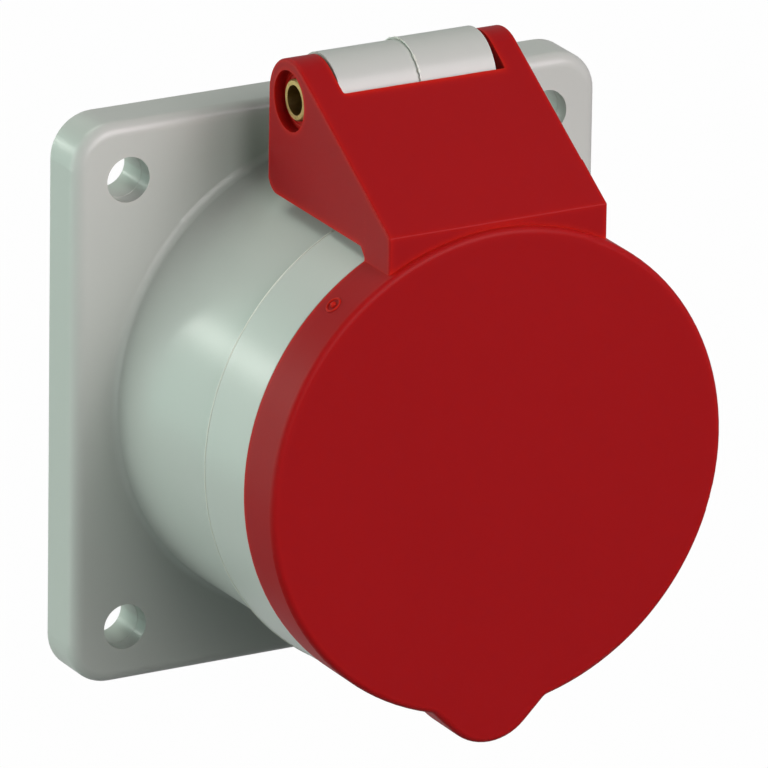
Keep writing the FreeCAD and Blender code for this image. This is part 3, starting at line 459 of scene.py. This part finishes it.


# In each plastic the edge colour is a painted edge glow, lighter than the plastic's own colour.
FINISHES: dict[Slot, Finish] = {
    Slot.HOUSING: MouldedPlastic(
        name="housing_plastic", colour=(190, 195, 189), edge_glow_colour=(196, 198, 192), edge_glow_gain=1.0,
        roughness=0.30, drift=0.03, specks=0.0, speck_colour=(120, 116, 106), grain_depth=0.001 * MM,
        gloss_level=0.42, depth_share=0.0, depth=1.2 * MM, depth_colours=(1.0, 0.9, 0.8)),
    Slot.LID: MouldedPlastic(
        name="lid_plastic", colour=(155, 18, 22), edge_glow_colour=(198, 32, 18), edge_glow_gain=2.2,
        roughness=0.46, drift=0.07, specks=0.6, speck_colour=(205, 120, 115), grain_depth=0.006 * MM,
        gloss_level=0.10, depth_share=0.35, depth=3.0 * MM, depth_colours=(1.0, 0.12, 0.06)),
    Slot.INSERT: MouldedPlastic(
        name="insert_plastic", colour=(155, 18, 22), edge_glow_colour=(198, 32, 18), edge_glow_gain=2.2,
        roughness=0.46, drift=0.05, specks=0.0, speck_colour=(205, 120, 115), grain_depth=0.006 * MM,
        gloss_level=0.10, depth_share=0.35, depth=3.0 * MM, depth_colours=(1.0, 0.12, 0.06)),
    Slot.TERMINAL: MouldedPlastic(
        name="terminal_plastic", colour=(46, 47, 49), edge_glow_colour=(66, 67, 70), edge_glow_gain=1.2,
        roughness=0.45, drift=0.08, specks=0.0, speck_colour=(120, 120, 120), grain_depth=0.01 * MM,
        gloss_level=0.4, depth_share=0.0, depth=1.0 * MM, depth_colours=(1.0, 1.0, 1.0)),
    Slot.SEAL: SoftRubber(
        name="seal_rubber", colour=(34, 34, 35), bloom_colour=(58, 58, 58), roughness=0.75,
        grain_depth=0.02 * MM),
    Slot.PIN: WorkedMetal(
        name="pin_brass", colour=(186, 160, 104), dull_colour=(96, 74, 44), dullness=0.6, roughness=0.36,
        mark_depth=0.004 * MM),
    Slot.SPRING: WorkedMetal(
        name="spring_steel", colour=(168, 168, 170), dull_colour=(110, 108, 104), dullness=0.3,
        roughness=0.28, mark_depth=0.004 * MM),
    Slot.CONTACT: WorkedMetal(
        name="contact_plating", colour=(196, 192, 178), dull_colour=(150, 142, 120), dullness=0.3,
        roughness=0.22, mark_depth=0.003 * MM),
    Slot.SCREW: WorkedMetal(
        name="screw_steel", colour=(178, 178, 172), dull_colour=(134, 130, 118), dullness=0.4,
        roughness=0.3, mark_depth=0.004 * MM),
}

# Paler plastic for the thin mould flash threads: its light colour is a painted highlight along them.
PAINTED_FLASH_HIGHLIGHT = MouldedPlastic(
    name="painted_flash_highlight_plastic", colour=(220, 223, 212), edge_glow_colour=(220, 223, 212), edge_glow_gain=0.0,
    roughness=0.38, drift=0.05, specks=0.0, speck_colour=(120, 116, 106), grain_depth=0.001 * MM,
    gloss_level=0.42, depth_share=0.5, depth=0.6 * MM, depth_colours=(1.0, 0.9, 0.8))


class Workshop:
    """Holds the built finishes, dresses CAD nodes and turns meshes into riding pieces."""

    def __init__(self) -> None:
        """Builds every finish once."""
        effects = SharedEffects()
        self.materials = {slot: finish.build(effects) for slot, finish in FINISHES.items()}
        self.painted_flash_highlight = PAINTED_FLASH_HIGHLIGHT.build(effects)

    def dress(self, node: str, slot: Slot) -> None:
        """Gives a CAD node its finish in place of the plain one."""
        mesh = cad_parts[node].data
        mesh.materials.clear()
        mesh.materials.append(self.materials[slot])
        log.info("dressed %s with %s", node, slot.value)

    def piece(self, name: str, shape: bmesh.types.BMesh, body: Body, slot: Slot,
              thin: bool = False) -> bpy.types.Object:
        """Makes a finished piece of a shape and lets it ride on a body.

        Args:
            name: Name of the piece.
            shape: Mesh in the frame's place; it is freed.
            body: Body that carries the piece.
            slot: Slot that the piece takes its finish from.
            thin: Whether the piece takes the paler flash finish, whose light colour is a painted
                highlight.

        Returns:
            The new object.
        """
        bmesh.ops.remove_doubles(shape, verts=shape.verts, dist=SAME_PLACE)
        bmesh.ops.recalc_face_normals(shape, faces=shape.faces)
        for face in shape.faces:
            face.smooth = True
        mesh = bpy.data.meshes.new(name)
        shape.to_mesh(mesh)
        shape.free()
        # A thin piece gets the paler flash finish, a painted highlight.
        mesh.materials.append(self.painted_flash_highlight if thin else self.materials[slot])
        made = bpy.data.objects.new(name, mesh)
        bpy.context.scene.collection.objects.link(made)
        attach(made, body.value)
        log.info("made %s: %d faces on %s", name, len(mesh.polygons), body.value)
        return made


def merge(target: bmesh.types.BMesh, part: bmesh.types.BMesh) -> None:
    """Adds one mesh to another and frees it."""
    mesh = bpy.data.meshes.new("part")
    part.to_mesh(mesh)
    part.free()
    target.from_mesh(mesh)
    bpy.data.meshes.remove(mesh)


def ring(radius: float, section: float, around: int, across: int, place: Matrix) -> bmesh.types.BMesh:
    """A ring of round section.

    Args:
        radius: Radius of the ring's middle line.
        section: Radius of its section.
        around: Steps around the ring.
        across: Steps around the section.
        place: Placement of a ring that lies in the XY plane.

    Returns:
        The ring's mesh.
    """
    shape = bmesh.new()
    turn = Matrix.Translation((radius, 0, 0)) @ Matrix.Rotation(math.pi / 2, 4, "X")
    made = bmesh.ops.create_circle(shape, segments=across, radius=section, matrix=turn)
    bmesh.ops.spin(shape, geom=made["verts"] + list(shape.edges), cent=(0, 0, 0), axis=(0, 0, 1),
                   angle=FULL_TURN, steps=around, use_merge=True, use_duplicate=False)
    bmesh.ops.transform(shape, matrix=place, verts=shape.verts)
    return shape


def ridge(path: list[Vector], sizes: list[float], across: int) -> bmesh.types.BMesh:
    """A closed thread of plastic along a path, with its own thickness at each point.

    Args:
        path: Points of the middle line.
        sizes: Section radius at each point.
        across: Steps around the section.

    Returns:
        The ridge's mesh.
    """
    shape = bmesh.new()
    last = len(path) - 1
    previous: list[bmesh.types.BMEdge] = []
    for index, (point, size) in enumerate(zip(path, sizes)):
        ahead = path[min(index + 1, last)] - path[max(index - 1, 0)]
        place = Matrix.Translation(point) @ ahead.to_track_quat("Z", "Y").to_matrix().to_4x4()
        made = bmesh.ops.create_circle(shape, cap_ends=index in (0, last), segments=across, radius=size,
                                       matrix=place)
        loop = list({edge for vertex in made["verts"] for edge in vertex.link_edges})
        if previous:
            bmesh.ops.bridge_loops(shape, edges=previous + loop)
        previous = loop
    return shape


def straight(start: Vector, end: Vector, steps: int) -> list[Vector]:
    """Points spread evenly from start to end."""
    return [start.lerp(end, step / steps) for step in range(steps + 1)]


def uneven_sizes(count: int, thin: float, thick: float, seed: int) -> list[float]:
    """Section radii that wander between thin and thick and taper at both ends."""
    chance = random.Random(seed)
    sizes = [thin + (thick - thin) * chance.random() ** 2 for _ in range(count)]
    sizes[0] = sizes[-1] = thin / 2
    return sizes


@dataclass
class MouldLines:
    """Flash lines and the gate mark that the moulds leave on the housing and the lid."""

    collar_position: float = 32.2 * MM
    collar_radius: float = 32.2 * MM
    flash_section: float = 0.1 * MM
    collar_steps: tuple[int, int] = (256, 8)
    gate_place: tuple[float, float, float] = (-21.17 * MM, -44.87 * MM, 24.0 * MM)
    gate_radius: float = 1.0 * MM
    gate_section: float = 0.16 * MM
    gate_nub: float = 0.42 * MM
    gate_steps: tuple[int, int] = (48, 12)
    nub_steps: tuple[int, int] = (24, 12)
    hinge_position: float = 21.9 * MM
    hinge_height: float = 42.75 * MM
    knuckle_radius: float = 5.86 * MM
    knuckle_seam: float = 0.36 * MM
    knuckle_start: float = -35.0
    knuckle_sweep: float = 200.0
    knuckle_sections: tuple[float, float] = (0.05 * MM, 0.2 * MM)
    knuckle_steps: int = 90
    knuckle_across: int = 8
    knuckle_seed: int = 5
    hole_offset: float = 30.0 * MM
    hole_radius: float = 3.0 * MM
    hole_seam_position: float = 4.6 * MM
    hole_seam: float = 0.05 * MM
    hole_steps: tuple[int, int] = (64, 6)
    block_half_width: float = 15.38 * MM
    slope_top: tuple[float, float] = (-25.0 * MM, 47.2 * MM)
    slope_foot: tuple[float, float] = (-48.42 * MM, 32.98 * MM)
    slope_break: float = 0.68
    thinnest: float = 0.02 * MM
    edge_section: float = 0.09 * MM
    upper_seed: int = 11
    lower_seed: int = 31
    seam_foot: tuple[float, float, float] = (-15.38 * MM, -42.2 * MM, 29.6 * MM)
    seam_top: tuple[float, float, float] = (-15.38 * MM, -42.2 * MM, 36.4 * MM)
    seam_section: float = 0.11 * MM
    seam_seed: int = 41
    block_steps: int = 60
    block_across: int = 6
    recess_floor: float = 13.86 * MM
    recess_ring: float = 3.35 * MM
    recess_section: float = 0.14 * MM
    recess_steps: tuple[int, int] = (64, 10)

    def build(self, workshop: Workshop) -> None:
        """Builds every line."""
        self.collar_flash(workshop)
        self.gate_mark(workshop)
        self.knuckle_flash(workshop)
        self.hole_seams(workshop)
        self.block_flash(workshop)
        self.recess_rings(workshop)

    def knuckle_flash(self, workshop: Workshop) -> None:
        """Ragged thread where the two halves of the knuckle's mould met."""
        path = []
        for step in range(self.knuckle_steps + 1):
            angle = math.radians(self.knuckle_start + self.knuckle_sweep * step / self.knuckle_steps)
            forward = -self.hinge_position - self.knuckle_radius * math.cos(angle)
            up = self.hinge_height + self.knuckle_radius * math.sin(angle)
            path.append(Vector((self.knuckle_seam, forward, up)))
        sizes = uneven_sizes(len(path), *self.knuckle_sections, self.knuckle_seed)
        shape = ridge(path, sizes, self.knuckle_across)
        # The paler flash finish paints a highlight along the thread.
        workshop.piece("knuckle_flash", shape, Body.SOCKET, Slot.HOUSING, thin=True)

    def hole_seams(self, workshop: Workshop) -> None:
        """Faint ring inside each screw hole."""
        shape = bmesh.new()
        for across in (-self.hole_offset, self.hole_offset):
            for up in (-self.hole_offset, self.hole_offset):
                place = (Matrix.Translation((across, -self.hole_seam_position, up))
                         @ Matrix.Rotation(math.pi / 2, 4, "X"))
                merge(shape, ring(self.hole_radius, self.hole_seam, *self.hole_steps, place))
        workshop.piece("hole_seams", shape, Body.SOCKET, Slot.HOUSING)

    def block_flash(self, workshop: Workshop) -> None:
        """Ragged threads along the edges of the lid's hinge block."""
        shape = bmesh.new()
        top = Vector((-self.block_half_width, *self.slope_top))
        foot = Vector((-self.block_half_width, *self.slope_foot))
        middle = top.lerp(foot, self.slope_break)
        runs = ((top, middle, self.edge_section, self.upper_seed),
                (middle, foot, self.edge_section, self.lower_seed),
                (Vector(self.seam_foot), Vector(self.seam_top), self.seam_section, self.seam_seed))
        for start, end, thick, seed in runs:
            path = straight(start, end, self.block_steps)
            sizes = uneven_sizes(len(path), self.thinnest, thick, seed)
            merge(shape, ridge(path, sizes, self.block_across))
        workshop.piece("block_flash", shape, Body.LID, Slot.LID)

    def recess_rings(self, workshop: Workshop) -> None:
        """Low ring on the floor of the recess in each cheek."""
        shape = bmesh.new()
        for across in (-self.recess_floor, self.recess_floor):
            place = (Matrix.Translation((across, -self.hinge_position, self.hinge_height))
                     @ Matrix.Rotation(math.pi / 2, 4, "Y"))
            merge(shape, ring(self.recess_ring, self.recess_section, *self.recess_steps, place))
        workshop.piece("recess_rings", shape, Body.LID, Slot.LID)

    def collar_flash(self, workshop: Workshop) -> None:
        """Thin ridge where the halves of the mould met around the collar."""
        place = Matrix.Translation((0, -self.collar_position, 0)) @ Matrix.Rotation(math.pi / 2, 4, "X")
        shape = ring(self.collar_radius, self.flash_section, *self.collar_steps, place)
        # The paler flash finish paints a highlight along the ring.
        workshop.piece("collar_flash", shape, Body.SOCKET, Slot.HOUSING, thin=True)

    def gate_mark(self, workshop: Workshop) -> None:
        """Ring and nub left on the lid's skirt where the plastic came in."""
        centre = Vector(self.gate_place)
        outward = Vector((centre.x, 0, centre.z)).normalized()
        place = Matrix.Translation(centre) @ outward.to_track_quat("Z", "Y").to_matrix().to_4x4()
        shape = ring(self.gate_radius, self.gate_section, *self.gate_steps, place)
        nub = bmesh.new()
        across, along = self.nub_steps
        bmesh.ops.create_uvsphere(nub, u_segments=across, v_segments=along, radius=self.gate_nub,
                                  matrix=place)
        merge(shape, nub)
        workshop.piece("gate_mark", shape, Body.LID, Slot.LID)


@dataclass
class PlugFace:
    """Raised rims round the holes in the front of the core, seen with the lid open."""

    front: float = 41.0 * MM
    circle: float = 15.5 * MM
    earth_radius: float = 4.5 * MM
    phase_radius: float = 3.5 * MM
    section: float = 0.22 * MM
    earth_angle: float = -90.0
    rim_steps: tuple[int, int] = (64, 10)

    def build(self, workshop: Workshop) -> None:
        """Builds the five rims; earth lies lowest."""
        shape = bmesh.new()
        for index in range(len(CONTACTS)):
            angle = math.radians(self.earth_angle) - FULL_TURN * index / len(CONTACTS)
            radius = self.phase_radius if index else self.earth_radius
            across, up = self.circle * math.cos(angle), self.circle * math.sin(angle)
            place = Matrix.Translation((across, -self.front, up)) @ Matrix.Rotation(math.pi / 2, 4, "X")
            merge(shape, ring(radius, self.section, *self.rim_steps, place))
        workshop.piece("entry_rims", shape, Body.SOCKET, Slot.INSERT)


@dataclass
class Studio:
    """Camera, lamps, floor and background."""

    lens: float = 615.4
    sensor: float = 36.0
    sight: float = 20.0
    camera_place: tuple[float, float, float] = (-753.315 * MM, -1387.906 * MM, 564.535 * MM)
    camera_azimuth: float = -28.836
    camera_elevation: float = 19.804
    camera_roll: float = 0.8585
    floor_height: float = -300.0 * MM
    floor_half_size: float = 3.0

    def build(self) -> None:
        """Builds the whole studio."""
        self.camera()
        self.background()
        self.floor()
        for lamp in LAMPS:
            lamp.build()

    def camera(self) -> None:
        """Sets the camera at the photograph's place and angle."""
        data = bpy.data.cameras.new("camera")
        data.lens = self.lens
        data.sensor_width = self.sensor
        data.clip_end = self.sight
        camera = bpy.data.objects.new("camera", data)
        azimuth = math.radians(self.camera_azimuth)
        elevation = math.radians(self.camera_elevation)
        turn = Matrix.Rotation(azimuth, 4, "Z") @ Matrix.Rotation(math.pi / 2 - elevation, 4, "X")
        roll = Matrix.Rotation(math.radians(self.camera_roll), 4, "Z")
        camera.matrix_world = Matrix.Translation(self.camera_place) @ turn @ roll
        bpy.context.scene.collection.objects.link(camera)
        bpy.context.scene.camera = camera

    @staticmethod
    def white_share(graph: Graph) -> bpy.types.NodeSocket:
        """Share of white that a ray meets: all from the camera or through glass, part off a gloss.

        Args:
            graph: Graph of the world's or the floor's tree.

        Returns:
            The share.
        """
        path = graph.node("ShaderNodeLightPath")
        seen = graph.maths("MAXIMUM", path.outputs["Is Camera Ray"], path.outputs["Is Transmission Ray"])
        glossy = graph.maths("MULTIPLY", path.outputs["Is Glossy Ray"], GLOSSY_SHARE)
        return graph.maths("MAXIMUM", seen, glossy)

    def background(self) -> None:
        """White background for the camera, dim light for the object."""
        world = bpy.data.worlds.new("studio")
        world.use_nodes = True
        world.node_tree.nodes.clear()
        graph = Graph(world.node_tree)
        share = self.white_share(graph)
        dim = graph.node("ShaderNodeBackground")
        dim.inputs["Color"].default_value = AMBIENT_COLOUR
        dim.inputs["Strength"].default_value = AMBIENT
        white = graph.node("ShaderNodeBackground")
        mix = graph.node("ShaderNodeMixShader")
        white.inputs["Color"].default_value = (1, 1, 1, 1)
        graph.join(share, mix.inputs["Fac"])
        graph.join(dim.outputs["Background"], mix.inputs[1])
        graph.join(white.outputs["Background"], mix.inputs[2])
        output = graph.node("ShaderNodeOutputWorld")
        graph.join(mix.outputs["Shader"], output.inputs["Surface"])
        bpy.context.scene.world = world
        bpy.context.scene.view_settings.view_transform = "Standard"

    def floor(self) -> None:
        """Pale floor that looks white and keeps a faint shadow."""
        shape = bmesh.new()
        bmesh.ops.create_grid(shape, x_segments=1, y_segments=1, size=self.floor_half_size,
                              matrix=Matrix.Translation((0, 0, self.floor_height)))
        mesh = bpy.data.meshes.new("floor")
        shape.to_mesh(mesh)
        shape.free()
        floor = bpy.data.objects.new("floor", mesh)
        bpy.context.scene.collection.objects.link(floor)
        material = bpy.data.materials.new("floor")
        material.use_nodes = True
        material.node_tree.nodes.clear()
        graph = Graph(material.node_tree)
        share = graph.maths("MULTIPLY", self.white_share(graph), FLOOR_WHITENESS)
        paper = graph.node("ShaderNodeBsdfDiffuse")
        paper.inputs["Color"].default_value = FLOOR_COLOUR
        white = graph.node("ShaderNodeEmission")
        mix = graph.node("ShaderNodeMixShader")
        graph.join(share, mix.inputs["Fac"])
        graph.join(paper.outputs["BSDF"], mix.inputs[1])
        graph.join(white.outputs["Emission"], mix.inputs[2])
        output = graph.node("ShaderNodeOutputMaterial")
        graph.join(mix.outputs["Shader"], output.inputs["Surface"])
        mesh.materials.append(material)


@dataclass(frozen=True)
class Lamp:
    """Soft rectangular lamp that looks at the object."""

    name: str
    azimuth: float
    elevation: float
    distance: float
    width: float
    height: float
    power: float
    colour: Colour

    def build(self) -> None:
        """Places the lamp; azimuth 0 stands in front of the lid and 90 to its right."""
        azimuth = math.radians(self.azimuth)
        elevation = math.radians(self.elevation)
        away = Vector((math.sin(azimuth) * math.cos(elevation), -math.cos(azimuth) * math.cos(elevation),
                       math.sin(elevation)))
        data = bpy.data.lights.new(self.name, "AREA")
        data.shape = "RECTANGLE"
        data.size = self.width
        data.size_y = self.height
        data.energy = self.power
        data.color = linear(self.colour)[:3]
        lamp = bpy.data.objects.new(self.name, data)
        turn = away.to_track_quat("Z", "Y").to_matrix().to_4x4()
        lamp.matrix_world = Matrix.Translation(away * self.distance) @ turn
        bpy.context.scene.collection.objects.link(lamp)


AMBIENT = 0.03
AMBIENT_COLOUR = (1.0, 1.0, 1.0, 1.0)
GLOSSY_SHARE = 0.5
FLOOR_WHITENESS = 0.99
FLOOR_COLOUR = (0.05, 0.05, 0.05, 1.0)

LAMPS = (
    Lamp("left_wall", azimuth=-110.0, elevation=0.0, distance=0.9, width=0.9, height=0.9, power=5.0,
         colour=(252, 240, 243)),
    Lamp("left_low", azimuth=-72.0, elevation=-12.0, distance=0.9, width=0.9, height=0.5, power=1.8,
         colour=(227, 255, 246)),
    Lamp("back_left_wall", azimuth=-125.0, elevation=5.0, distance=0.9, width=0.9, height=0.9, power=2.8,
         colour=(194, 255, 231)),
    Lamp("back_left_spot", azimuth=-143.6, elevation=12.3, distance=0.9, width=0.1, height=0.05,
         power=0.2, colour=(249, 255, 243)),
    Lamp("back_left_near", azimuth=-139.0, elevation=13.4, distance=0.45, width=0.06, height=0.04,
         power=0.1, colour=(250, 255, 250)),
    Lamp("front", azimuth=0.0, elevation=22.0, distance=1.0, width=0.6, height=0.6, power=4.7,
         colour=(255, 251, 251)),
    Lamp("front_right", azimuth=24.0, elevation=31.0, distance=1.0, width=0.6, height=0.6, power=6.0,
         colour=(255, 242, 248)),
    Lamp("top_back", azimuth=-170.0, elevation=55.0, distance=1.0, width=0.5, height=0.5, power=2.2,
         colour=(240, 255, 240)),
)

NODE_SLOTS: dict[str, Slot] = {
    "housing": Slot.HOUSING, "lid": Slot.LID, "contact_insert": Slot.INSERT,
    "terminal_block": Slot.TERMINAL, "flange_seal": Slot.SEAL, "lid_seal": Slot.SEAL,
    "hinge_pin": Slot.PIN, "lid_spring": Slot.SPRING,
    "insert_screws": Slot.SCREW, "joining_screws": Slot.SCREW, "terminal_screws": Slot.SCREW,
}
CONTACTS = ("earth", "l1", "l2", "l3", "neutral")


def main() -> None:
    """Dresses the CAD nodes, builds the details and sets up the studio."""
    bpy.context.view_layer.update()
    workshop = Workshop()
    for node, slot in NODE_SLOTS.items():
        workshop.dress(node, slot)
    for contact in CONTACTS:
        workshop.dress(f"contact_{contact}", Slot.CONTACT)
        workshop.dress(f"sleeve_ring_{contact}", Slot.SPRING)
    MouldLines().build(workshop)
    PlugFace().build(workshop)
    Studio().build()


if __name__ == "__main__":
    main()
